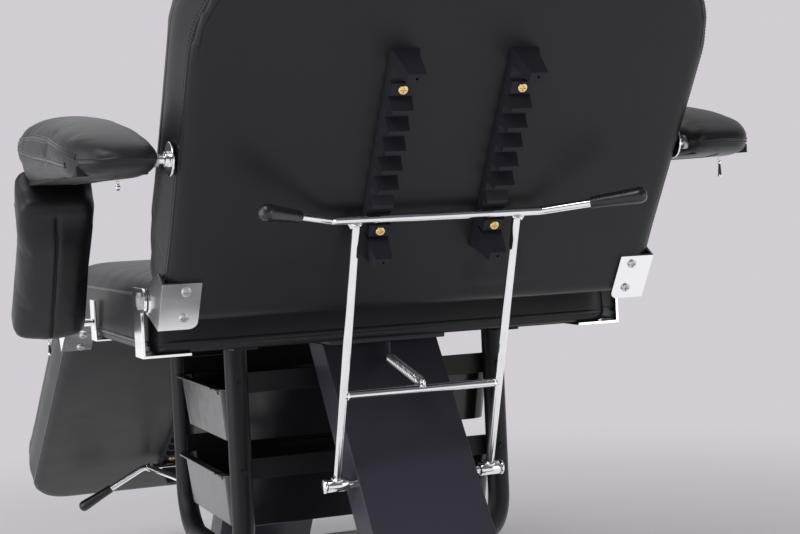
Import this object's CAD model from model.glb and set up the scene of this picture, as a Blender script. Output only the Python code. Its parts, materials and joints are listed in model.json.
import json
import math

import bmesh
import bpy
import numpy as np
from mathutils import Matrix, Vector
from mathutils.bvhtree import BVHTree

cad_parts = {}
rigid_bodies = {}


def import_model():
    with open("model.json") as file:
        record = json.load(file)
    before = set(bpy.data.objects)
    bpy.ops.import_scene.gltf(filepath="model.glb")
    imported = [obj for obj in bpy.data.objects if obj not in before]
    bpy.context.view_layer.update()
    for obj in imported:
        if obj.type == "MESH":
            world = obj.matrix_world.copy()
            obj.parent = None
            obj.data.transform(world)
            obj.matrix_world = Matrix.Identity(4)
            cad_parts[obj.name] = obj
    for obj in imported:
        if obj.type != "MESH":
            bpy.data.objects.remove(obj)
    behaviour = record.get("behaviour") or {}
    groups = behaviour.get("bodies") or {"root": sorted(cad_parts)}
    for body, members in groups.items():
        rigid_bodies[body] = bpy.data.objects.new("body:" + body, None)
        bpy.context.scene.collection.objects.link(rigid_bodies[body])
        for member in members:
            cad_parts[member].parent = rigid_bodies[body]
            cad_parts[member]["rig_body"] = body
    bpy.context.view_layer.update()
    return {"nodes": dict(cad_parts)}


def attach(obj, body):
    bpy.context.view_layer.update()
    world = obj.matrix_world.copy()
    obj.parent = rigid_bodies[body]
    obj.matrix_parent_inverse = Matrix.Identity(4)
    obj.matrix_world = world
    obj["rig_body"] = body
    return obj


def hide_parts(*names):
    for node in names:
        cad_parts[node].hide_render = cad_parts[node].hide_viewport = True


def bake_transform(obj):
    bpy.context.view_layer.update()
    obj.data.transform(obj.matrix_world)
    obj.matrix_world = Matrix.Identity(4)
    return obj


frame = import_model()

# Tattoo chair in metres: X is the sitter's left, Y points rearward, Z is up from the floor.

# ---------------------------------------------------------------- studio
# A pale seamless floor that runs out into a pale room, lit by four large soft boxes.
# Near the chair the floor shows its shadow, further out it fades into the room's colour, and
# polished surfaces see it paler than the eye does.
room_colour = (0.640, 0.612, 0.657, 1.0)
front_reflection = (0.66, 0.645, 0.67, 1.0)
rear_reflection = (0.15, 0.145, 0.16, 1.0)
floor_reflection = (0.97, 0.96, 0.98, 1.0)
reflected_share = 0.85
room_light = 0.34
floor_radius = 40.0
floor_near = 0.7
floor_far = 2.3


class Wire:
    """One output of a shader tree. Arithmetic on it adds Math nodes to that tree."""

    def __init__(self, finish, socket):
        self.finish = finish
        self.socket = socket

    def math(self, operation, *values):
        return self.finish.node("ShaderNodeMath", {"operation": operation}, values)

    def __add__(self, other):
        return self.math("ADD", self, other)

    def __sub__(self, other):
        return self.math("SUBTRACT", self, other)

    def __rsub__(self, other):
        return self.math("SUBTRACT", other, self)

    def __mul__(self, other):
        return self.math("MULTIPLY", self, other)

    def __gt__(self, other):
        return self.math("GREATER_THAN", self, other)

    __radd__ = __add__
    __rmul__ = __mul__

    def within(self, low, high):
        """0 at low, 1 at high, smooth between them."""
        return self.finish.node("ShaderNodeMapRange", {"interpolation_type": "SMOOTHSTEP"},
                                {"Value": self, "From Min": low, "From Max": high})

    def output(self, name):
        return Wire(self.finish, self.socket.node.outputs[name])


class ShaderTree:
    """A node tree and the one method that adds nodes to it."""

    def __init__(self, owner):
        owner.use_nodes = True
        self.tree = owner.node_tree
        self.owner = owner

    def node(self, kind, settings=(), inputs=(), output=0):
        made = self.tree.nodes.new(kind)
        for name, value in dict(settings).items():
            setattr(made, name, value)
        for key, value in (inputs.items() if isinstance(inputs, dict) else enumerate(inputs)):
            if isinstance(value, Wire):
                self.tree.links.new(value.socket, made.inputs[key])
            else:
                made.inputs[key].default_value = value
        return Wire(self, made.outputs[output])

    def colours(self, factor, first, second):
        """One colour turning into another."""
        return self.node("ShaderNodeMix", {"data_type": "RGBA"},
                         {0: factor, 6: first, 7: second}, 2)

    def glossy(self):
        """1 for rays that mirror off a surface."""
        return self.node("ShaderNodeLightPath").output("Is Glossy Ray")

    def seen(self):
        """1 for the eye and for reflections, 0 for light that falls on the chair."""
        ray = self.node("ShaderNodeLightPath")
        return ((ray.output("Is Camera Ray") + ray.output("Is Glossy Ray")
                 + ray.output("Is Transmission Ray")) > 0.5)

    def end_in(self, wire, output):
        """Links the finished surface to the tree's output node."""
        self.tree.links.new(wire.socket, output.inputs["Surface"])


def select_only(*chosen):
    for other in bpy.context.view_layer.objects:
        other.select_set(False)
    for piece in chosen:
        piece.select_set(True)
    bpy.context.view_layer.objects.active = chosen[-1]


def named(name):
    """Names the active object and its mesh."""
    piece = bpy.context.active_object
    piece.name = name
    piece.data.name = name
    return piece


room = ShaderTree(bpy.data.worlds.new("studio_room"))
bpy.context.scene.world = room.owner
room.tree.nodes.clear()
facing = room.node("ShaderNodeSeparateXYZ", (), [room.node("ShaderNodeTexCoord")])
rearward = (facing.output("Y") - facing.output("X") * 0.45).within(-0.35, 0.75)
reflected = room.colours(rearward, front_reflection, rear_reflection)
shown = room.colours(room.glossy(), room_colour, reflected)
lighting = room.node("ShaderNodeBackground", (), {"Color": (1.0, 0.98, 1.0, 1.0),
                                                  "Strength": room_light})
backdrop = room.node("ShaderNodeBackground", (), {"Color": shown, "Strength": 1.0})
room.end_in(room.node("ShaderNodeMixShader", (), [room.seen(), lighting, backdrop]),
            room.tree.nodes.new("ShaderNodeOutputWorld"))

bpy.ops.mesh.primitive_circle_add(vertices=96, radius=floor_radius, fill_type="NGON")
floor = named("studio_floor")
paint = ShaderTree(bpy.data.materials.new("studio_floor"))
floor.data.materials.append(paint.owner)
floor_shader = paint.tree.nodes["Principled BSDF"]
floor_shader.inputs["Base Color"].default_value = (0.78, 0.765, 0.795, 1.0)
floor_shader.inputs["Roughness"].default_value = 0.85
floor_shader.inputs["Specular IOR Level"].default_value = 0.2
spot = paint.node("ShaderNodeTexCoord").output("Object")
away = paint.node("ShaderNodeVectorMath", {"operation": "LENGTH"}, [spot]).output("Value")
far_colour = paint.colours(paint.glossy(), room_colour, floor_reflection)
faded = paint.node("ShaderNodeEmission", (), {"Color": far_colour, "Strength": 1.0})
fade = away.within(floor_near, floor_far) + paint.glossy() * reflected_share
paint.end_in(paint.node("ShaderNodeMixShader", (),
                        [fade * paint.seen(), Wire(paint, floor_shader.outputs[0]), faded]),
             paint.tree.nodes["Material Output"])


def soft_box(name, spot, aim, size, watts):
    """A square soft box turned toward a point of the chair."""
    heading = (Vector(aim) - Vector(spot)).to_track_quat("-Z", "Y").to_euler()
    bpy.ops.object.light_add(type="AREA", location=spot, rotation=heading)
    lamp = bpy.context.active_object
    lamp.name = name
    lamp.data.shape = "SQUARE"
    lamp.data.size = size
    lamp.data.energy = watts


soft_box("key_box", (1.5, 1.7, 2.9), (0.0, 0.3, 0.5), 1.6, 46.0)
soft_box("side_box", (2.5, 0.5, 0.9), (0.3, 0.2, 0.6), 1.8, 26.0)
soft_box("low_box", (-2.0, 2.2, 0.6), (0.0, 0.4, 0.6), 1.5, 11.0)
soft_box("front_box", (0.2, -2.2, 2.8), (0.0, 0.0, 0.5), 2.0, 9.0)

# ---------------------------------------------------------------- camera
# Stands behind the chair's left side at table height, with a long lens, and looks a little
# down at it. The turn is built from the directions across, down and ahead of the view.
camera_lens = 72.135
camera_sensor = 36.0
camera_spot = Vector((0.68378, 2.17174, 0.629517))
camera_yaw, camera_pitch, camera_roll = (math.radians(a) for a in (21.0168, 2.2195, 2.6521))
ahead = Vector((-math.sin(camera_yaw) * math.cos(camera_pitch),
                -math.cos(camera_yaw) * math.cos(camera_pitch), -math.sin(camera_pitch)))
level = Vector((-math.cos(camera_yaw), math.sin(camera_yaw), 0.0))
below = ahead.cross(level)
across = math.cos(camera_roll) * level + math.sin(camera_roll) * below
downward = math.cos(camera_roll) * below - math.sin(camera_roll) * level
bpy.ops.object.camera_add()
camera = bpy.context.active_object
camera.data.lens = camera_lens
camera.data.sensor_width = camera_sensor
camera_turn = Matrix((across, -downward, -ahead)).transposed().to_4x4()
camera_turn.translation = camera_spot
camera.matrix_world = camera_turn
bpy.context.scene.camera = camera
bpy.context.scene.view_settings.view_transform = "Standard"

# ---------------------------------------------------------------- base
# Box-tube spine and two cross feet, welded and powder coated slate grey, on four levelling
# feet. Rubber caps close the tube ends; the feet are turned on zinc-plated studs.
weld_distance = 0.00002
flat_angle = math.radians(0.5)


class Finish(ShaderTree):
    """A procedural surface: one Principled shader fed by patterns in object space."""

    def __init__(self, name, roughness=0.5, metallic=0.0, specular=0.5):
        super().__init__(bpy.data.materials.new(name))
        self.shader = self.tree.nodes["Principled BSDF"]
        self.shader.inputs["Roughness"].default_value = roughness
        self.shader.inputs["Metallic"].default_value = metallic
        self.shader.inputs["Specular IOR Level"].default_value = specular
        self.at = self.node("ShaderNodeTexCoord").output("Object")

    def feed(self, name, value):
        self.tree.links.new(value.socket, self.shader.inputs[name])

    def noise(self, scale, detail, stretch=None):
        """Noise in object coordinates, drawn out by a stretch for grain and brushing."""
        at = self.at
        if stretch:
            at = self.node("ShaderNodeMapping", (), {"Vector": at, "Scale": stretch})
        return self.node("ShaderNodeTexNoise", (),
                         {"Vector": at, "Scale": scale, "Detail": detail})

    # A pattern is the scale and detail of a noise, and a stretch where it has one.
    def tint(self, pattern, first, second):
        mixed = self.colours(self.noise(*pattern), (*first, 1.0), (*second, 1.0))
        self.feed("Base Color", mixed)

    def gloss(self, pattern, low, high):
        self.feed("Roughness", self.noise(*pattern) * (high - low) + low)

    def relief(self, pattern, distance):
        self.bump(self.noise(*pattern), distance)

    def bump(self, height, distance):
        self.feed("Normal", self.node("ShaderNodeBump", (), {"Height": height,
                                                             "Distance": distance}))

    def cover(self, *pieces):
        """Gives the finish to pieces or CAD nodes and takes their other materials away."""
        for piece in pieces:
            piece.data.materials.clear()
            piece.data.materials.append(self.owner)


def powder_coat(name, colour, pale, roughness):
    """Baked paint on steel: fine orange peel, faint cloudiness and slightly worn gloss."""
    coat = Finish(name, specular=0.25)
    coat.tint((7.0, 3.0), colour, pale)
    coat.gloss((26.0, 4.0), roughness - 0.07, roughness + 0.07)
    coat.relief((620.0, 2.0), 0.00012)
    return coat


def in_edit(piece):
    """Opens a piece in edit mode with all of it selected."""
    select_only(piece)
    bpy.ops.object.mode_set(mode="EDIT")
    bpy.ops.mesh.select_all(action="SELECT")
    return bmesh.from_edit_mesh(piece.data)


def out_of_edit():
    bpy.ops.object.mode_set(mode="OBJECT")


def applied(piece, kind, **settings):
    """Adds a modifier with these settings and applies it."""
    select_only(piece)
    modifier = piece.modifiers.new(kind.lower(), kind)
    for key, value in settings.items():
        setattr(modifier, key, value)
    bpy.ops.object.modifier_apply(modifier=modifier.name)


def smooth(piece, angle=None):
    """Shades a piece smooth, all over or up to an angle in degrees."""
    select_only(piece)
    if angle is None:
        bpy.ops.object.shade_smooth()
    else:
        bpy.ops.object.shade_smooth_by_angle(angle=math.radians(angle))


def carried(pieces, body):
    for piece in pieces:
        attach(piece, body)


def stands_for(piece, node):
    """The piece takes the place of a CAD node on that node's body."""
    carried([piece], frame["nodes"][node]["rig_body"])
    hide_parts(node)


def softened(name, node, edge, finish, steps=2, angle=30.0):
    """A merged copy of a CAD node with every sharp edge broken, standing for that node."""
    piece = bpy.data.objects.new(name, frame["nodes"][node].data.copy())
    bpy.context.scene.collection.objects.link(piece)
    select_only(piece)
    bpy.ops.mesh.customdata_custom_splitnormals_clear()
    in_edit(piece)
    bpy.ops.mesh.remove_doubles(threshold=weld_distance)
    bpy.ops.mesh.dissolve_limited(angle_limit=flat_angle)
    out_of_edit()
    applied(piece, "BEVEL", width=edge, segments=steps, limit_method="ANGLE",
            angle_limit=math.radians(angle))
    smooth(piece, 35.0)
    applied(piece, "WEIGHTED_NORMAL", mode="FACE_AREA", weight=100, keep_sharp=True)
    finish.cover(piece)
    stands_for(piece, node)


slate = powder_coat("slate_powder_coat", (0.036, 0.034, 0.048), (0.046, 0.043, 0.060), 0.40)
black_coat = powder_coat("black_powder_coat", (0.0065, 0.0062, 0.008), (0.010, 0.0095, 0.012),
                         0.42)

rubber = Finish("moulded_rubber", specular=0.3)
rubber.tint((40.0, 3.0), (0.014, 0.014, 0.015), (0.024, 0.023, 0.025))
rubber.gloss((90.0, 2.0), 0.62, 0.86)
rubber.relief((900.0, 2.0), 0.0002)

zinc = Finish("zinc_plate", metallic=1.0)
zinc.tint((160.0, 3.0), (0.46, 0.47, 0.50), (0.66, 0.67, 0.69))
zinc.gloss((300.0, 3.0), 0.24, 0.44)
zinc.relief((1200.0, 2.0), 0.00003)

softened("spine_tube", "base_spine", 0.003, slate, 3)
softened("cross_feet", "base_cross_feet", 0.003, slate, 3)
softened("tube_end_caps", "foot_end_caps", 0.0015, rubber, 3)
softened("levelling_pads", "foot_pads", 0.0012, rubber)
softened("levelling_studs", "foot_studs", 0.0006, zinc)

# ---------------------------------------------------------------- box posts
# Two leaning columns folded from sheet steel and welded to plates at head and foot.
# Both are powder coated slate grey like the base.
softened("rear_column", "rear_post", 0.0032, slate, 3)
softened("front_column", "front_post", 0.0032, slate, 3)
softened("column_plates", "post_plates", 0.0012, slate)

# ---------------------------------------------------------------- seat frame
# Flat bar rails under the seat board, with bent round tubes that hang from them as loops
# and a square cross tube welded between the loops at the front.
softened("frame_rails", "seat_frame_rails", 0.0018, black_coat)
black_coat.cover(frame["nodes"]["tray_loop_left"], frame["nodes"]["tray_loop_right"])
softened("upper_runners", "tray_runners_upper", 0.0007, black_coat)
softened("lower_runners", "tray_runners_lower", 0.0007, black_coat)
softened("runner_bolts", "runner_screws", 0.0012, black_coat, 3)

# ---------------------------------------------------------------- trays
# Two deep tubs moulded in glossy black plastic, each with a flat rim that rides on its
# runners, so that it slides out to the sitter's side.
gloss_plastic = Finish("gloss_black_plastic")
gloss_plastic.tint((18.0, 3.0), (0.0085, 0.0082, 0.0105), (0.0125, 0.012, 0.015))
gloss_plastic.gloss((60.0, 4.0), 0.10, 0.24)
gloss_plastic.relief((30.0, 2.0), 0.00025)
softened("top_tray", "upper_tray", 0.0011, gloss_plastic, 3)
softened("bottom_tray", "lower_tray", 0.0011, gloss_plastic, 3)

# ---------------------------------------------------------------- seat
# Foam on a plywood board under smooth black vinyl. The top panel is sewn to the side strip
# along the crown's edge, and the cover is pulled tight and stapled under the board.
back_hinge = Vector((0.0, 0.370634, 0.534))
leg_hinge = Vector((0.0, -0.201366, 0.486))
lean = math.radians(33.0)
pad_half = 0.300
pad_inset = 0.003
trim_inset = 0.002
pad_corner = 0.024
cover_pressure = 4.0
cover_frames = 20
cover_voxel, cover_cap = 0.008, 0.007
fold_shoulder = 0.45


def lying(hinge, reach, depth):
    """Matrix that lays a pad made as (X, reach, depth behind the hinge line) in its place."""
    place = Matrix((Vector((1.0, 0.0, 0.0)), reach, depth)).transposed().to_4x4()
    place.translation = hinge
    return place


def coordinates(piece, kind="co"):
    """Places, or normals, of a mesh's vertices as an array."""
    found = np.empty(len(piece.data.vertices) * 3)
    piece.data.vertices.foreach_get(kind, found)
    return found.reshape(-1, 3)


def reshape_to(piece, points):
    piece.data.vertices.foreach_set("co", np.asarray(points, float).ravel())
    piece.data.update()


def ramp(value, start, run, least=0.0):
    """Climbs from the least at the start to 1 a run away; a negative run climbs downward."""
    return np.clip((value - start) / run, least, 1.0)


def rounded_block(name, low, high, near, far, bottom_rim, top_rim):
    """A cube brought to size, its upright corners and then its two rims rolled over."""
    low, high = Vector(low), Vector(high)
    bpy.ops.mesh.primitive_cube_add(size=1.0, location=(low + high) / 2, scale=high - low)
    piece = named(name)
    bpy.ops.object.transform_apply(location=True, rotation=True, scale=True)

    def roll(radius, steps, test):
        """Rolls over the edges whose two ends pass the test."""
        mesh = in_edit(piece)
        bpy.ops.mesh.select_mode(type="EDGE")
        bpy.ops.mesh.select_all(action="DESELECT")
        for edge in mesh.edges:
            edge.select_set(test(edge.verts[0].co, edge.verts[1].co))
        mesh.select_flush_mode()
        bpy.ops.mesh.bevel(offset=radius, segments=steps, affect="EDGES", clamp_overlap=False)
        out_of_edit()

    fine = 1e-5
    for radius, y in ((near, low.y), (far, high.y)):
        roll(radius, 8, lambda a, b: abs(a.z - b.z) > fine and abs(a.y - y) < fine
             and abs(b.y - y) < fine)
    for radius, z in ((bottom_rim, low.z), (top_rim, high.z)):
        roll(radius, 6, lambda a, b: abs(a.z - z) < fine and abs(b.z - z) < fine)
    return piece


def filled(piece, voxel, cap, freedom):
    """Fills a cover like foam: remeshes it, presses it out and holds points within the cap."""
    applied(piece, "REMESH", mode="VOXEL", voxel_size=voxel)
    start = coordinates(piece)
    select_only(piece)
    cloth = piece.modifiers.new("cover", "CLOTH")
    cloth.settings.quality = 4
    cloth.settings.use_pressure = True
    cloth.settings.uniform_pressure_force = cover_pressure
    cloth.settings.effector_weights.gravity = 0.0
    cloth.point_cache.frame_end = cover_frames
    for step in range(1, cover_frames + 1):
        bpy.context.scene.frame_set(step)
    bpy.ops.object.modifier_apply(modifier=cloth.name)
    bpy.context.scene.frame_set(1)
    move = coordinates(piece) - start
    far = np.linalg.norm(move, axis=1, keepdims=True) + 1e-9
    share = np.clip(freedom(*start.T), 0.0, 1.0)[:, None]
    reshape_to(piece, start + move / far * cap * np.tanh(far / cap) * share)
    applied(piece, "SUBSURF", levels=1, render_levels=1)
    smooth(piece)


def pressed(piece, folds):
    """Presses soft folds into a cover: (points, width, depth), in the piece's own place."""
    points = coordinates(piece)
    out = coordinates(piece, "normal")
    for line, width, depth in folds:
        near = np.full(len(points), 1e9)
        along = np.zeros(len(points))
        line = np.array(line, float)
        count = len(line) - 1
        for step in range(count):
            a, b = line[step], line[step + 1]
            t = np.clip(((points - a) @ (b - a)) / ((b - a) @ (b - a)), 0.0, 1.0)
            gap = np.linalg.norm(points - (a + t[:, None] * (b - a)), axis=1)
            closer = gap < near
            near[closer] = gap[closer]
            along[closer] = ((step + t) / count)[closer]
        fade = np.sin(np.pi * np.clip(along, 0.02, 0.98)) ** 0.7
        shoulder = fold_shoulder * np.exp(-((near - 2.0 * width) / width) ** 2)
        push = shoulder - np.exp(-(near / width) ** 2)
        points = points + out * (push * fade * depth)[:, None]
    reshape_to(piece, points)


def laid(piece, place):
    """Moves the finished mesh from its own lie to the chair, and keeps its faces outward."""
    piece.data.transform(place)
    if place.determinant() < 0:
        piece.data.flip_normals()


def ring(half_x, low_y, high_y, near, far, step, z):
    """Points round a rectangle with rounded corners, a step apart, at one depth."""
    corners = ((half_x - near, low_y + near, near, -90), (half_x - far, high_y - far, far, 0),
               (far - half_x, high_y - far, far, 90), (near - half_x, low_y + near, near, 180))
    outline = []
    for x, y, radius, start in corners:
        for turn in range(0, 91, 6):
            angle = math.radians(start + turn)
            outline.append((x + radius * math.cos(angle), y + radius * math.sin(angle), z))
    return even(outline + outline[:1], step)[:-1]


def even(points, step):
    """The same line with its points a step apart."""
    points = np.array(points, float)
    lengths = np.concatenate(([0.0], np.cumsum(np.linalg.norm(np.diff(points, axis=0), axis=1))))
    count = max(2, round(lengths[-1] / step))
    spots = np.linspace(0.0, lengths[-1], count + 1)
    return np.stack([np.interp(spots, lengths, points[:, axis]) for axis in range(3)], axis=1)


def on_cover(piece, line, closed):
    """Line pulled onto the cover, with the way out of it and the way along it at each point."""
    shown = BVHTree.FromObject(piece, bpy.context.evaluated_depsgraph_get())
    hits = [shown.find_nearest(Vector(point)) for point in line]
    spots = np.array([hit[0] for hit in hits])
    out = np.array([hit[1] for hit in hits])
    for _ in range(6):
        if closed:
            out = out + np.roll(out, 1, axis=0) + np.roll(out, -1, axis=0)
            spots = 0.5 * spots + 0.25 * (np.roll(spots, 1, axis=0) + np.roll(spots, -1, axis=0))
        else:
            out[1:-1] = out[1:-1] + out[2:] + out[:-2]
            spots[1:-1] = 0.5 * spots[1:-1] + 0.25 * (spots[2:] + spots[:-2])
        out /= np.linalg.norm(out, axis=1, keepdims=True)
    if closed:
        along = np.roll(spots, -1, axis=0) - np.roll(spots, 1, axis=0)
    else:
        along = np.gradient(spots, axis=0)
    along /= np.linalg.norm(along, axis=1, keepdims=True)
    return spots, out, along


def band(name, piece, line, profile, closed=True):
    """A strip of cover sewn along a line: its profile is (across, height) points, in metres."""
    spots, out, along = on_cover(piece, line, closed)
    across = np.cross(out, along)
    rows = len(profile)
    bpy.ops.mesh.primitive_grid_add(x_subdivisions=rows - 1,
                                    y_subdivisions=len(spots) - (not closed))
    strip = named(name)
    grid = np.empty((len(spots) + closed, rows, 3))
    for row, (side, height) in enumerate(profile):
        grid[:len(spots), row] = spots + across * side + out * height
    if closed:
        grid[-1] = grid[0]
    reshape_to(strip, grid.reshape(-1, 3))
    if closed:
        in_edit(strip)
        bpy.ops.mesh.remove_doubles(threshold=0.00001)
        out_of_edit()
    first = strip.data.polygons[0]
    nearest = np.argmin(np.linalg.norm(spots - np.array(first.center), axis=1))
    if np.array(first.normal) @ out[nearest] < 0:
        strip.data.flip_normals()
    smooth(strip)
    return strip


def stitched(name, piece, line, side, pitch, closed=True, size=(0.0016, 0.00042, 0.00034),
             height=0.0010):
    """One row of thread: a small capsule at each stitch, all copies of one."""
    spots, out, along = on_cover(piece, even(line, pitch) if not closed else line, closed)
    if closed:
        loop = np.vstack([spots, spots[:1]])
        length = np.linalg.norm(np.diff(loop, axis=0), axis=1).sum()
        every = max(1, round(pitch / (length / len(spots))))
        spots, out, along = spots[::every], out[::every], along[::every]
    across = np.cross(out, along)
    bpy.ops.mesh.primitive_uv_sphere_add(segments=6, ring_count=4, radius=1.0)
    thread = named(name)
    stitch = coordinates(thread) * np.array([size[1], size[2], size[0]])
    faces = [tuple(face.vertices) for face in thread.data.polygons]
    centres = spots + across * side + out * height
    copies = (centres[:, None, :] + stitch[None, :, 0:1] * across[:, None, :]
              + stitch[None, :, 1:2] * out[:, None, :] + stitch[None, :, 2:3] * along[:, None, :])
    every_face = [tuple(v + number * len(stitch) for v in face)
                  for number in range(len(spots)) for face in faces]
    thread.data.clear_geometry()
    thread.data.from_pydata(copies.reshape(-1, 3).tolist(), [], every_face)
    in_edit(thread)
    bpy.ops.mesh.normals_make_consistent(inside=False)
    out_of_edit()
    smooth(thread)
    return thread


def vinyl_finish(name, dark, pale, sheen):
    """Coated upholstery vinyl: a fine pebbled grain, soft unevenness and a satin shine."""
    cover = Finish(name, specular=0.30)
    cover.tint((5.0, 3.0), dark, pale)
    cover.gloss((11.0, 3.0), sheen - 0.05, sheen + 0.07)
    grain = cover.node("ShaderNodeTexVoronoi", {"feature": "SMOOTH_F1"},
                       {"Vector": cover.at, "Scale": 950.0})
    cover.bump(grain * 0.06 + cover.noise(22.0, 2.0), 0.0009)
    return cover


vinyl = vinyl_finish("black_vinyl", (0.0085, 0.0082, 0.0100), (0.0130, 0.0125, 0.0150), 0.42)
seam_vinyl = vinyl_finish("seam_vinyl", (0.0080, 0.0078, 0.0095), (0.0120, 0.0118, 0.0140), 0.30)
thread_finish = Finish("black_thread", roughness=0.62, specular=0.3)
thread_finish.tint((400.0, 2.0), (0.016, 0.0155, 0.019), (0.034, 0.033, 0.038))

stained_ply = Finish("stained_plywood", specular=0.25)
veneer = (14.0, 5.0, (9.0, 1.2, 9.0))
stained_ply.tint(veneer, (0.009, 0.0088, 0.010), (0.016, 0.0155, 0.0175))
stained_ply.gloss(veneer, 0.62, 0.82)
stained_ply.relief(veneer, 0.0003)

welt_profile = ((-0.0036, -0.0008), (-0.0031, 0.0007), (-0.0012, 0.0011), (0.0012, 0.0011),
                (0.0031, 0.0007), (0.0036, -0.0008))
ridge_profile = ((-0.0020, -0.0009), (-0.0012, 0.0004), (0.0, 0.0009), (0.0012, 0.0004),
                 (0.0020, -0.0009))
seam_step = 0.0042
seam_gauge = 0.0022
welt_depth = 0.0095
crown_seam_depth = 0.028


def trimmed(name, pad, outline, welt_z, ridge_z):
    """Double-sewn welt near the board side and a plain seam under the crown of a pad."""
    line = ring(*outline, seam_step, welt_z)
    welt = band(name + "_welt", pad, line, welt_profile)
    threads = [stitched(name + "_stitches_" + row, pad, line, side, seam_step, height=0.0012)
               for row, side in (("a", -seam_gauge), ("b", seam_gauge))]
    ridge = band(name + "_crown_seam", pad, ring(*outline, seam_step, ridge_z), ridge_profile)
    seam_vinyl.cover(welt, ridge)
    thread_finish.cover(*threads)
    return [welt, *threads, ridge]


def upholstered(name, covers, trims, body, place=Matrix.Identity(4)):
    """Lays a pad's covers and trims in place on its body, and stains the board it is on."""
    vinyl.cover(*covers)
    for piece in (*covers, *trims):
        laid(piece, place)
    stands_for(covers[0], name + "_cushion")
    carried(trims, body)
    stained_ply.cover(frame["nodes"][name + "_board"])


seat_front, seat_rear = -0.195366, 0.364634
seat_low, seat_top = 0.470, 0.566
seat = rounded_block("seat_pad", (pad_inset - pad_half, seat_front + pad_inset,
                                  seat_low + 0.0005),
                     (pad_half - pad_inset, seat_rear - pad_inset, seat_top - 0.006),
                     pad_corner, pad_corner, 0.006, 0.024)
filled(seat, cover_voxel, cover_cap,
       lambda x, y, z: (z - seat_low - 0.004) / 0.05 * ramp(np.abs(x), 0.285, -0.03, 0.45))
seat_outline = (pad_half - trim_inset, seat_front + trim_inset, seat_rear - trim_inset,
                pad_corner, pad_corner)
seat_trim = trimmed("seat", seat, seat_outline, seat_low + 0.012, seat_top - crown_seam_depth)
upholstered("seat", [seat], seat_trim, "root")

# ---------------------------------------------------------------- seat fittings
# Straps up both sides at each hinge and the armrests' seat brackets, bent from steel strip and
# satin chromed, and the zinc-plated hinge bolts with their nuts.
satin = Finish("satin_chrome", metallic=1.0)
rolled = (30.0, 2.0, (1.0, 1.0, 2.0))
satin.tint(rolled, (0.90, 0.90, 0.92), (0.96, 0.96, 0.97))
satin.gloss(rolled, 0.12, 0.19)
satin.relief(rolled, 0.000012)
softened("hinge_side_straps", "hinge_straps", 0.0011, satin, 3)
softened("seat_brackets", "arm_seat_brackets", 0.0011, satin, 3)
softened("hinge_bolt_set", "hinge_bolts", 0.0006, zinc)

# ---------------------------------------------------------------- back
# A foam pad on plywood in smooth vinyl, closed behind by one tight vinyl panel that is
# turned over the edge and sewn down with a double row of stitches along the sides.
back_reach = Vector((0.0, math.sin(lean), math.cos(lean)))
back_depth = Vector((0.0, math.cos(lean), -math.sin(lean)))
back_place = lying(back_hinge, back_reach, back_depth)
back_low, back_high = 0.006, 0.466
back_front, back_rear = -0.032, 0.064
back_corner = 0.120
lid_depth, lid_lift = 0.0100, 0.0003
hold_off = 0.0006


def lidded(name, pad, above, node):
    """The panel that closes a pad from behind: the cover past one depth, a little proud of it."""
    select_only(pad)
    bpy.ops.object.duplicate()
    panel = named(name)
    points = coordinates(panel)
    reshape_to(panel, points + coordinates(panel, "normal") * lid_lift)
    mesh = in_edit(panel)
    bpy.ops.mesh.select_mode(type="VERT")
    bpy.ops.mesh.select_all(action="DESELECT")
    for vertex in mesh.verts:
        vertex.select_set(vertex.co.z < above)
    mesh.select_flush_mode()
    bpy.ops.mesh.delete(type="VERT")
    out_of_edit()
    applied(panel, "SOLIDIFY", thickness=0.0012, offset=-1.0)
    stands_for(panel, node)
    return panel


def open_pad(name, outline, front, rear, loose_from, swell):
    """A pad left square where its rear panel closes it, swollen past that edge: (side, front)."""
    half, low, high, near, far = outline
    pad = rounded_block(name, (pad_inset - half, low + pad_inset, front + 0.004),
                        (half - pad_inset, high - pad_inset, rear - hold_off),
                        near, far, 0.013, 0.006)
    filled(pad, cover_voxel, cover_cap, lambda x, y, z: ramp(z, loose_from, -0.05, 0.16)
           * ramp(y, 0.05, 0.05, 0.2))
    points = coordinates(pad)
    past_panel = ramp(points[:, 2], rear - 0.010, -0.040)
    at_side = ramp(np.abs(points[:, 0]) / half, 0.75, 0.22)
    past_hinge = ramp(points[:, 1], 0.045, 0.060, 0.15)
    points[:, 2] -= swell[1] * past_hinge * past_panel ** 2
    points[:, 0] += (swell[0] * np.sign(points[:, 0]) * past_hinge * at_side ** 2
                     * past_panel ** 2 * (3.0 - 2.0 * past_panel))
    reshape_to(pad, points)
    return pad


back_outline = (pad_half, back_low, back_high, pad_corner, back_corner)
back = open_pad("back_pad", back_outline, back_front, back_rear, 0.040, (0.0090, 0.0090))
# Slack of the rear cover low on the right, and the pull at the corner plates.
back_folds = [
    (((-0.105, 0.060, 0.064), (-0.085, 0.085, 0.064), (-0.080, 0.112, 0.064)), 0.0060, 0.0012),
    (((-0.128, 0.052, 0.064), (-0.112, 0.078, 0.064), (-0.110, 0.100, 0.064)), 0.0055, 0.0010),
    (((-0.060, 0.050, 0.064), (-0.050, 0.068, 0.064), (-0.030, 0.080, 0.064)), 0.0060, 0.0009),
    (((-0.150, 0.040, 0.064), (-0.100, 0.034, 0.064), (-0.040, 0.040, 0.064)), 0.0060, 0.0007),
    (((0.300, 0.072, 0.040), (0.300, 0.090, 0.010), (0.300, 0.120, -0.010)), 0.0070, 0.0016),
    (((0.300, 0.068, 0.020), (0.300, 0.080, -0.005), (0.300, 0.098, -0.022)), 0.0060, 0.0013),
    (((-0.300, 0.072, 0.040), (-0.300, 0.090, 0.010), (-0.300, 0.120, -0.010)), 0.0070, 0.0016),
]
pressed(back, back_folds)
back_trim = trimmed("back", back, back_outline, back_rear - welt_depth,
                    back_front + crown_seam_depth)
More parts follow.
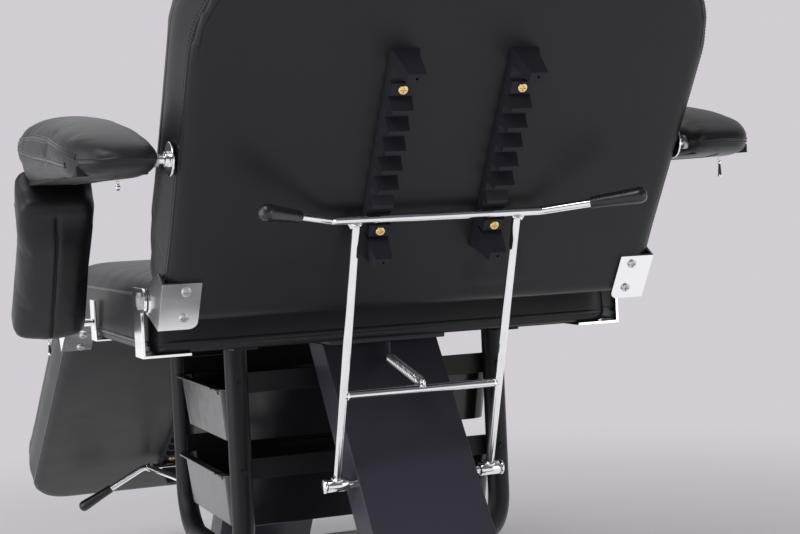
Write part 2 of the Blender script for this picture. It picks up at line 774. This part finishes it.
back_lid = lidded("back_panel", back, back_rear - lid_depth, "back_rear_panel")
upholstered("back", [back, back_lid], back_trim, "backrest", back_place)

# ---------------------------------------------------------------- back fittings
# Two moulded nylon racks with six lips that hold the bar, each on two yellow plated screws,
# satin chromed plates on the hinge corners, and the bright chromed pins of the armrests.
chrome = Finish("chrome", metallic=1.0)
smear = (35.0, 4.0)
chrome.tint(smear, (0.70, 0.70, 0.72), (0.88, 0.88, 0.90))
chrome.gloss((90.0, 3.0), 0.05, 0.14)
chrome.relief(smear, 0.00012)

nylon = Finish("moulded_nylon", specular=0.2)
nylon.tint((60.0, 3.0), (0.0140, 0.0140, 0.0215), (0.0210, 0.0210, 0.0300))
nylon.gloss((130.0, 3.0), 0.38, 0.56)
nylon.relief((500.0, 3.0), 0.00012)

brass = Finish("yellow_zinc", metallic=1.0)
passivation = (260.0, 3.0)
brass.tint(passivation, (0.70, 0.45, 0.15), (0.90, 0.74, 0.42))
brass.gloss(passivation, 0.18, 0.36)
brass.relief((900.0, 2.0), 0.00003)

for side in ("left", "right"):
    softened("back_rack_" + side, "back_comb_" + side, 0.0008, nylon, 3, 25.0)
    softened("leg_rack_" + side, "leg_comb_" + side, 0.0008, nylon, 3, 25.0)
for section in ("back", "leg"):
    softened(section + "_rack_screws", section + "_comb_screws", 0.00018, brass)
    softened(section + "_corner_screws", section + "_plate_screws", 0.00018, zinc)
    softened(section + "_corner_plates", section + "_hinge_plates", 0.0011, satin, 3)
softened("arm_disc_pins", "arm_pins", 0.0009, chrome, 3)

# ---------------------------------------------------------------- headrest
# A small foam pad in the same vinyl on its own board. Two chromed rods carry it and slide in
# drawn steel sockets let into the back.
head_low, head_high = 0.490, 0.670
head_half = 0.150
head_front, head_rear = -0.032, 0.038
head_corner = 0.050
headrest = rounded_block("headrest_pad", (pad_inset - head_half, head_low + pad_inset,
                                          head_front + 0.005),
                         (head_half - pad_inset, head_high - pad_inset, head_rear - hold_off),
                         head_corner, head_corner, 0.026, 0.006)
filled(headrest, 0.005, 0.008, lambda x, y, z: ramp(z, 0.030, -0.03, 0.05))
headrest_outline = (head_half, head_low, head_high, head_corner, head_corner)
headrest_trim = trimmed("headrest", headrest, headrest_outline, head_rear - welt_depth,
                        head_front + 0.026)
upholstered("headrest", [headrest], headrest_trim, "headrest", back_place)
steel = Finish("bare_steel", metallic=1.0)
drawn = (30.0, 4.0, (2.0, 2.0, 60.0))
steel.tint(drawn, (0.34, 0.34, 0.36), (0.52, 0.52, 0.54))
steel.gloss(drawn, 0.30, 0.48)
steel.relief(drawn, 0.00004)
softened("rod_sockets", "headrest_sockets", 0.0005, steel)
chrome.cover(frame["nodes"]["headrest_rods"])

# ---------------------------------------------------------------- leg rest
# The same make as the back but longer: foam on plywood, a vinyl panel closing the underside,
# double stitching round its edge, and gathers where the cover is drawn in at the hinge.
leg_reach = Vector((0.0, -math.cos(lean), -math.sin(lean)))
leg_depth = Vector((0.0, math.sin(lean), -math.cos(lean)))
leg_place = lying(leg_hinge, leg_reach, leg_depth)
leg_low, leg_high = 0.006, 0.634
leg_front, leg_rear = -0.080, 0.016
leg_corner = 0.070
leg_outline = (pad_half, leg_low, leg_high, pad_corner, leg_corner)
leg = open_pad("leg_pad", leg_outline, leg_front, leg_rear, -0.008, (0.0060, 0.0))
leg_folds = [
    (((0.300, 0.030 + 0.016 * step, 0.012 - 0.010 * (step % 2)),
      (0.298, 0.042 + 0.017 * step, -0.020), (0.298, 0.060 + 0.018 * step, -0.050)),
     0.0050, 0.0014 - 0.0002 * step) for step in range(4)
]
pressed(leg, leg_folds)
leg_trim = trimmed("leg", leg, leg_outline, leg_rear - welt_depth, leg_front + crown_seam_depth)
leg_lid = lidded("leg_panel", leg, leg_rear - lid_depth, "leg_rear_panel")
upholstered("leg", [leg, leg_lid], leg_trim, "legrest", leg_place)

# ---------------------------------------------------------------- support bars
# Bars bent and welded from 10 mm bright steel rod and chromed: a cross rod with swept ends,
# two legs, a brace and two pivot sleeves. Tapered black grips are pushed on the ends.
rod_radius = 0.005
handle_bend = 0.018
bend_steps = 10
brace_share = 0.35
eye_rise = 0.008
bar_sides = 9
grip_length = 0.064
grip_wall = 0.014
grip_tip = (0.225, 0.063, 0.037)
sleeve_radius = 0.008
sleeve_length = 0.026
sleeve_chamfer = 0.001
grip_shape = ((0.0, 0.0066), (0.002, 0.0071), (0.016, 0.0074), (0.034, 0.0083),
              (0.050, 0.0093), (0.056, 0.0094), (0.0595, 0.0086), (0.0622, 0.0068),
              (0.0637, 0.0040), (0.0640, 0.0006))


def bent_line(points, radius):
    """Straight runs joined by arcs of one radius."""
    points = [Vector(point) for point in points]
    line = [points[0]]
    for before, corner, after in zip(points, points[1:], points[2:]):
        inward, outward = (corner - before).normalized(), (after - corner).normalized()
        half = inward.angle(outward) / 2
        middle = corner + (outward - inward).normalized() * radius / math.cos(half)
        for step in range(bend_steps + 1):
            turn = half * (2 * step / bend_steps - 1)
            spoke = (inward - outward).normalized() * math.cos(turn)
            spoke += (inward + outward).normalized() * math.sin(turn)
            line.append(middle + spoke * radius)
    return line + [points[-1]]


def turned(name, line, radii, sides=6):
    """A round bar drawn along a line, thick or thin as its radii say, with closed ends."""
    curve = bpy.data.curves.new(name, "CURVE")
    curve.dimensions = "3D"
    spline = curve.splines.new("POLY")
    spline.points.add(len(line) - 1)
    if not isinstance(radii, (list, tuple)):
        radii = [radii] * len(line)
    for point, spot, radius in zip(spline.points, line, radii):
        point.co = (*spot, 1.0)
        point.radius = radius * 1000.0
    curve.bevel_depth = 0.001
    curve.bevel_resolution = sides
    curve.use_fill_caps = True
    piece = bpy.data.objects.new(name, curve)
    bpy.context.scene.collection.objects.link(piece)
    select_only(piece)
    bpy.ops.object.convert(target="MESH")
    piece = bpy.context.active_object
    in_edit(piece)
    bpy.ops.mesh.remove_doubles(threshold=0.000001)
    bpy.ops.mesh.normals_make_consistent(inside=False)
    out_of_edit()
    smooth(piece, 50.0)
    return piece


def along_shape(root, heading, shape):
    """The points and radii that turned() takes, for (distance, radius) pairs along a heading."""
    return [root + heading * along for along, _ in shape], [radius for _, radius in shape]


def torus(spot, turn, radius, thickness, steps, sides):
    """A smooth ring of round wire about the Z axis of its turn."""
    bpy.ops.mesh.primitive_torus_add(location=spot, rotation=turn, major_radius=radius,
                                     minor_radius=thickness, major_segments=steps,
                                     minor_segments=sides)
    bpy.ops.object.transform_apply(location=True, rotation=True, scale=True)
    bpy.ops.object.shade_smooth()
    return named("ring")


def weld_bead(spot, axis, radius, bead=0.0016):
    """A rippled ring of weld metal round a joint."""
    axis = Vector(axis)
    made = torus(spot, axis.to_track_quat("Z", "Y").to_euler(), radius, bead, 40, 8)
    away = coordinates(made) - np.array(spot)
    side = axis.orthogonal().normalized()
    angle = np.arctan2(away @ np.array(side), away @ np.array(axis.cross(side).normalized()))
    reshape_to(made, np.array(spot) + away * (1.0 + 0.06 * np.sin(11 * angle))[:, None])
    return made


def joined(name, *parts):
    select_only(*parts)
    bpy.ops.object.join()
    return named(name)


def mirrored(piece, name):
    """The same piece for the sitter's right, with a mesh of its own."""
    select_only(piece)
    bpy.ops.object.duplicate()
    other = named(name)
    reshape_to(other, coordinates(other) * np.array([-1.0, 1.0, 1.0]))
    other.data.flip_normals()
    return other


def upright(pivot, lean_angle, turned_round):
    """Matrix of a bar that was made standing on its pivot, with its grips swung toward +Y."""
    flip = -1.0 if turned_round else 1.0
    c, s = math.cos(lean_angle), math.sin(lean_angle)
    columns = Matrix((Vector((flip, 0.0, 0.0)), Vector((0.0, flip * c, -flip * s)),
                      Vector((0.0, s, c)))).transposed().to_4x4()
    columns.translation = Vector((0.0, *pivot))
    return columns


grip_plastic = Finish("grip_plastic")
grip_plastic.tint((70.0, 3.0), (0.010, 0.0096, 0.0115), (0.017, 0.0165, 0.019))
grip_plastic.gloss((160.0, 3.0), 0.20, 0.36)
grip_plastic.relief((240.0, 2.0), 0.00012)


def support_bar(name, length, spacing, bend_x, pivot, lean_angle, turned_round, with_eye):
    tip = Vector((grip_tip[0], grip_tip[1], length + grip_tip[2]))
    bend = Vector((bend_x, 0.0, length))
    heading = (tip - bend).normalized()
    end = tip - heading * grip_wall
    flipped = Vector((-1.0, 1.0, 1.0))
    line = bent_line([end * flipped, bend * flipped, bend, end], handle_bend)
    cross_rod = turned(name + "_crossrod", line, rod_radius, bar_sides)
    chrome.cover(cross_rod)

    brace_z = brace_share * length
    half = spacing / 2
    narrow = sleeve_radius - sleeve_chamfer
    sleeve_shape = ((0.0, narrow), (sleeve_chamfer, sleeve_radius),
                    (sleeve_length - sleeve_chamfer, sleeve_radius), (sleeve_length, narrow))
    parts = []
    for side in (-1, 1):
        x = side * half
        parts.append(turned("leg", [Vector((x, 0, 0.006)), Vector((x, 0, length - 0.003))],
                            rod_radius, bar_sides))
        parts.append(turned("sleeve", *along_shape(Vector((x - sleeve_length / 2, 0, 0)),
                                                   Vector((1, 0, 0)), sleeve_shape), bar_sides))
        parts.append(weld_bead((x, 0, length - 0.0052), (0, 0, 1), 0.0054))
        parts.append(weld_bead((x, 0, 0.0080), (0, 0, 1), 0.0056, 0.0019))
        parts.append(weld_bead((x - side * 0.0052, 0, brace_z), (1, 0, 0), 0.0044))
        gusset = Vector((x + side * 0.0045, 0.0, length - 0.0085))
        parts.append(turned("gusset", [gusset, gusset + Vector((side * 0.005, 0, 0.0062))],
                            [0.0030, 0.0018], 5))
    parts.append(turned("brace", [Vector((-half, 0, brace_z)), Vector((half, 0, brace_z))],
                        rod_radius, 8))
    if with_eye:
        parts.append(torus((0, 0, brace_z + eye_rise), (0, math.radians(90), 0), 0.00425,
                           0.0017, 32, 10))
        parts.append(weld_bead((0, 0, brace_z + 0.0045), (0, 0, 1), 0.0028, 0.0015))
    frame_piece = joined(name + "_frame", *parts)
    chrome.cover(frame_piece)

    root = tip - heading * grip_length
    grip = turned("grip", *along_shape(root, heading, grip_shape), bar_sides)
    grip_pair = joined(name + "_grip_pair", grip, mirrored(grip, "grip"))
    grip_plastic.cover(grip_pair)

    place = upright(pivot, lean_angle, turned_round)
    for piece, slot, node in ((cross_rod, "chrome", name + "_handle"),
                              (frame_piece, "chrome", name + "_legs"),
                              (grip_pair, "grip", name + "_grips")):
        laid(piece, place)
        stands_for(piece, node)


back_pivot = (0.407634, 0.307)
back_bar_lean = math.radians(19.70)
back_bar_length = 0.3276
leg_pivot = (-0.197366, 0.214238)
support_bar("back_bar", back_bar_length, 0.194, 0.126, back_pivot, back_bar_lean, False, True)
support_bar("leg_bar", 0.4011, 0.216, 0.118, leg_pivot, math.radians(-93.287), True, False)

# ---------------------------------------------------------------- pivot pins and spring
# Headed pins stand out of both columns through the bars' sleeves. A close-wound spring hooks
# between the head plate and the eye on the back bar's brace, and stretches as the bar swings.
pin_root = 0.0748
pin_dome = ((0.0, 0.0084), (0.0008, 0.0090), (0.0022, 0.0088), (0.0034, 0.0072),
            (0.0040, 0.0040), (0.0041, 0.0004))
pins = []
for (y, z), outer in ((back_pivot, 0.111), (leg_pivot, 0.122)):
    for side in (-1, 1):
        pins.append(turned("pin", [Vector((side * pin_root, y, z)),
                                   Vector((side * outer, y, z))], rod_radius, 8))
        pins.append(turned("dome", *along_shape(Vector((side * outer, y, z)),
                                                Vector((side, 0, 0)), pin_dome), 8))
pivot_pins = joined("pivot_pin_set", *pins)
chrome.cover(pivot_pins)
stands_for(pivot_pins, "bar_pivot_pins")

spring_steel = Finish("spring_wire", metallic=1.0)
oiled = (220.0, 3.0)
spring_steel.tint(oiled, (0.50, 0.50, 0.52), (0.78, 0.78, 0.80))
spring_steel.gloss(oiled, 0.14, 0.30)
spring_steel.relief(oiled, 0.00005)

spring_anchor = Vector((0.0, 0.337634, 0.445))
eye_reach = brace_share * back_bar_length + eye_rise - 0.001
spring_eye = Vector((0.0, back_pivot[0] + eye_reach * math.sin(back_bar_lean),
                     back_pivot[1] + eye_reach * math.cos(back_bar_lean)))
wire, coil_radius, hook_radius = 0.0015, 0.0054, 0.0040
coil_pitch = 1.06
turn_steps = 12
pull = (spring_eye - spring_anchor).normalized()
sideways = Vector((1.0, 0.0, 0.0))
upward = pull.cross(sideways)
hook = 2 * hook_radius + wire / 2
span = (spring_eye - spring_anchor).length - 2 * hook
turns = int(span / (wire * coil_pitch))


def hooked(end, inward, start):
    """The wire's open hook at one end of the spring, from a start angle in degrees."""
    angles = [math.radians(start + 20 * step) for step in range(17)]
    return [end + inward * (hook_radius - hook_radius * math.cos(angle))
            + upward * hook_radius * math.sin(angle) for angle in angles]


coil = []
for step in range(turns * turn_steps + 1):
    angle = math.radians(360 / turn_steps * step)
    coil.append(spring_anchor + pull * (hook + span * step / (turns * turn_steps))
                + (sideways * math.cos(angle) + upward * math.sin(angle)) * coil_radius)
wound = hooked(spring_anchor, pull, -160) + coil + hooked(spring_eye, -pull, 20)
spring = turned("tension_spring", wound, wire / 2, 1)
smooth(spring)
spring_steel.cover(spring)
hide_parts("bar_spring")
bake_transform(spring)

# ---------------------------------------------------------------- armrests
# A crowned vinyl pad on a board, and a padded post in front of it. Their covers are sewn from
# a top, an underside and a side strip with flat double seams, and close with coil zips.
arm_inner, arm_outer = 0.314, 0.412
arm_middle, arm_half = 0.363, 0.049
arm_voxel = 0.0045
arm_tail, tail_length, tail_draw = 0.478, 0.083, 0.052
crown_drop = 0.008
chamfer_slope = 0.10
chin_rise = 0.021
arm_seam_step = 0.004
arm_seam_gauge = 0.0021
zip_pitch = 0.0017
arm_side = (  # outline from the chin along the underside, round the tail and over the crown
    (0.174, 0.6735), (0.300, 0.6728), (0.420, 0.6715), (0.500, 0.6705), (0.535, 0.6730),
    (0.552, 0.6790), (0.559, 0.6870), (0.556, 0.6960), (0.543, 0.7045), (0.515, 0.7150),
    (0.473, 0.7255), (0.400, 0.7365), (0.320, 0.7440), (0.240, 0.7490), (0.205, 0.7485),
    (0.176, 0.7415), (0.158, 0.7290), (0.152, 0.7150), (0.150, 0.6930),
)


def outline_block(name, outline, x0, x1):
    """An outline in the upright plane, drawn as one face and extruded along X."""
    bpy.ops.mesh.primitive_circle_add(vertices=len(outline), radius=1.0, fill_type="NGON")
    piece = named(name)
    reshape_to(piece, [(x0, y, z) for y, z in outline])
    in_edit(piece)
    bpy.ops.mesh.extrude_region_move(TRANSFORM_OT_translate={"value": (x1 - x0, 0.0, 0.0)})
    bpy.ops.mesh.select_all(action="SELECT")
    bpy.ops.mesh.normals_make_consistent(inside=False)
    out_of_edit()
    return piece


arm = outline_block("arm_cushion_left", arm_side, arm_inner + 0.003, arm_outer - 0.002)
applied(arm, "BEVEL", width=0.016, segments=6, limit_method="ANGLE",
        angle_limit=math.radians(60), use_clamp_overlap=False)
applied(arm, "REMESH", mode="VOXEL", voxel_size=arm_voxel)
points = coordinates(arm)
tail = ramp(points[:, 1], arm_tail, tail_length)
points[:, 0] -= ramp(points[:, 0], 0.330, 0.080) * tail_draw * (
    1.0 - np.sqrt(1.0 - tail ** 2 * 0.98))
off_middle = np.abs((points[:, 0] - arm_middle) / arm_half)
points[:, 2] -= crown_drop * off_middle ** 2.2 * ramp(points[:, 2], 0.700, 0.046)
seam_height = np.interp(points[:, 1], (0.163, 0.219, 0.342, 0.451, 0.500),
                        (0.724, 0.712, 0.700, 0.690, 0.672))
below_seam = np.clip(seam_height - points[:, 2], 0.0, 0.040)
points[:, 0] -= chamfer_slope * below_seam * ramp(points[:, 0], 0.380, 0.030)
points[:, 2] += (chin_rise * ramp(points[:, 1], 0.200, -0.014)
                 * ramp(points[:, 2], 0.712, -0.039))
reshape_to(arm, points)
filled(arm, arm_voxel, 0.006,
       lambda x, y, z: ramp(x, arm_inner, 0.02, 0.15) * ramp(z, 0.668, 0.02, 0.1))
applied(arm, "SMOOTH", factor=0.5, iterations=30)
felled_profile = ((-0.0034, -0.0007), (-0.0029, 0.0006), (-0.0011, 0.0009), (0.0, 0.0004),
                  (0.0011, 0.0009), (0.0029, 0.0006), (0.0034, -0.0007))
arm_seams = {
    "upper": [(arm_outer, y, z) for y, z in (
        (0.168, 0.7290), (0.228, 0.7310), (0.292, 0.7290), (0.350, 0.7240),
        (0.405, 0.7170), (0.458, 0.7090), (0.495, 0.7020), (0.530, 0.6935))],
    "lower": [(arm_outer, y, z) for y, z in (
        (0.163, 0.7240), (0.190, 0.7160), (0.219, 0.7120), (0.283, 0.7060),
        (0.342, 0.7000), (0.398, 0.6950), (0.451, 0.6900), (0.500, 0.6850))],
    "tail": [(0.400, 0.530, 0.6875), (0.392, 0.548, 0.6868), (0.372, 0.562, 0.6858),
             (0.350, 0.566, 0.6848), (0.332, 0.562, 0.6845), (0.320, 0.552, 0.6850)],
}
arm_trim = []
for label, line in arm_seams.items():
    line = even(line, arm_seam_step)
    trim = band("arm_seam_" + label + "_left", arm, line, felled_profile, closed=False)
    seam_vinyl.cover(trim)
    threads = [stitched("arm_thread_" + label + "_" + row + "_left", arm, line, side,
                        arm_seam_step, closed=False, height=0.0009)
               for row, side in (("a", -arm_seam_gauge), ("b", arm_seam_gauge))]
    thread_finish.cover(*threads)
    arm_trim += [trim, *threads]
vinyl.cover(arm)

post_lean = math.radians(44.25)
post_length = 0.2153
post_half = 0.023
post_pivot = (0.029634, 0.492)
post_end = 0.0252
post_crown = 0.0095
post_shear = 0.006
corner_lift = 0.019
groove_width, groove_depth = 0.0028, 0.0022
post = rounded_block("post_cushion_left", (arm_inner + 0.002, -post_half, -0.004),
                     (arm_outer - 0.002, post_half, post_length + post_end), 0.013, 0.013,
                     0.015, 0.016)
applied(post, "REMESH", mode="VOXEL", voxel_size=arm_voxel)
points = coordinates(post)
off_middle = np.abs(points[:, 0] - arm_middle) / arm_half
points[:, 1] += (post_crown * (1.0 - off_middle) * ramp(points[:, 1], 0.0, post_half)
                 * ramp(points[:, 2], post_length, -0.03))
points[:, 0] += post_shear * ramp(points[:, 2], 0.0, post_length)
sine, cosine = math.sin(post_lean), math.cos(post_lean)
spot_y = post_pivot[0] + points[:, 2] * sine + points[:, 1] * cosine
spot_z = post_pivot[1] + points[:, 2] * cosine - points[:, 1] * sine
lift = corner_lift * ramp(spot_y, 0.191, -0.010) * ramp(spot_z, 0.630, 0.030)
points[:, 1] -= lift * sine
points[:, 2] += lift * cosine
reshape_to(post, points)
filled(post, arm_voxel, 0.0045,
       lambda x, y, z: ramp(x, arm_inner, 0.02, 0.2) * ramp(z, 0.205, -0.03, 0.1))
applied(post, "SMOOTH", factor=0.5, iterations=6)
points = coordinates(post)
ridge_x = arm_middle + post_shear * ramp(points[:, 2], 0.0, post_length)
groove = np.exp(-((points[:, 0] - ridge_x) / groove_width) ** 2) * (points[:, 1] > 0.012)
points[:, 1] -= groove_depth * groove * ramp(points[:, 2], 0.226, -0.01)
reshape_to(post, points)
vinyl.cover(post)

zip_nylon = Finish("zip_coil")
zip_nylon.tint((300.0, 2.0), (0.009, 0.0088, 0.010), (0.020, 0.0195, 0.022))
zip_nylon.gloss((500.0, 2.0), 0.34, 0.54)
coil_size = (0.00055, 0.0017, 0.0006)


def zipped(name, piece, line, height):
    """A closed coil zip: one capsule across the line for each pair of teeth."""
    coil = stitched(name, piece, even(line, zip_pitch), 0.0, zip_pitch, closed=False,
                    size=coil_size, height=height)
    zip_nylon.cover(coil)
    return coil


post_trim = [zipped("post_zip_left", post,
                    [(0.3686, 0.032, 0.200), (0.3672, 0.034, 0.150), (0.3647, 0.034, 0.060),
                     (0.363, 0.032, 0.006), (0.363, 0.022, -0.008)], 0.0004)]
post_side_lines = {
    "outer": [(0.417, -0.020, 0.205), (0.415, -0.020, 0.100), (0.411, -0.020, 0.006),
              (0.400, -0.020, -0.008)],
    "inner": [(0.321, 0.019, 0.200), (0.317, 0.019, 0.100), (0.315, 0.019, 0.010),
              (0.322, 0.018, -0.006)],
}
for label, line in post_side_lines.items():
    trim = band("post_seam_" + label + "_left", post, even(line, arm_seam_step), ridge_profile,
                closed=False)
    seam_vinyl.cover(trim)
    post_trim.append(trim)
post_place = upright(post_pivot, post_lean, False)
for piece in (post, *post_trim):
    laid(piece, post_place)
arm_trim.append(zipped("arm_zip_left", arm, [(0.359, 0.262, 0.668), (0.359, 0.400, 0.667),
                                             (0.359, 0.528, 0.668)], 0.0002))

for body, slot_node, cushion, trims in (("armrest_", "arm_pad_", arm, arm_trim),
                                        ("armpost_", "arm_post_pad_", post, post_trim)):
    for side in ("left", "right"):
        if side == "right":
            cushion = mirrored(cushion, cushion.name.replace("left", "right"))
            trims = [mirrored(piece, piece.name.replace("left", "right")) for piece in trims]
        stands_for(cushion, slot_node + side)
        carried(trims, body + side)


def zip_pull(name, top, body, length):
    """A plated slider eye and two beads, with a black tube between them, hanging straight."""
    down = Vector((0.0, 0.0, -1.0))
    top = Vector(top)
    eye = torus(top, (math.radians(90), 0, 0), 0.0016, 0.0005, 20, 8)
    upper = ((0.0, 0.0006), (0.0006, 0.0017), (0.0026, 0.0020), (0.0036, 0.0012))
    lower = ((0.0, 0.0012), (0.0008, 0.0022), (0.0026, 0.0026), (0.0038, 0.0020),
             (0.0044, 0.0006))
    beads = [turned("bead", *along_shape(top + down * start, down, shape), 6)
             for start, shape in ((0.0014, upper), (length - 0.0044, lower))]
    metal = joined(name + "_metal", eye, *beads)
    chrome.cover(metal)
    tube = turned(name + "_tube", *along_shape(top, down, ((0.0046, 0.0013), (0.008, 0.0015),
                                                           (length - 0.004, 0.0021))), 6)
    grip_plastic.cover(tube)
    carried([metal], body)
    carried([tube], body)


for kind, side, x, y, z, length in (("arm", "right", -0.359, 0.5300, 0.6655, 0.021),
                                    ("post", "left", 0.363, 0.0360, 0.4715, 0.019),
                                    ("arm", "left", 0.359, 0.5300, 0.6655, 0.007),
                                    ("post", "right", -0.363, 0.0360, 0.4715, 0.019)):
    body = {"arm": "armrest_", "post": "armpost_"}[kind] + side
    zip_pull(kind + "_zip_pull_" + side, (x, y, z), body, length)
stained_ply.cover(frame["nodes"]["arm_board_left"], frame["nodes"]["arm_board_right"])
for side in ("left", "right"):
    softened("arm_sleeve_and_tab_" + side, "arm_fittings_" + side, 0.0006, steel)
    softened("post_core_" + side, "arm_post_core_" + side, 0.0006, steel)
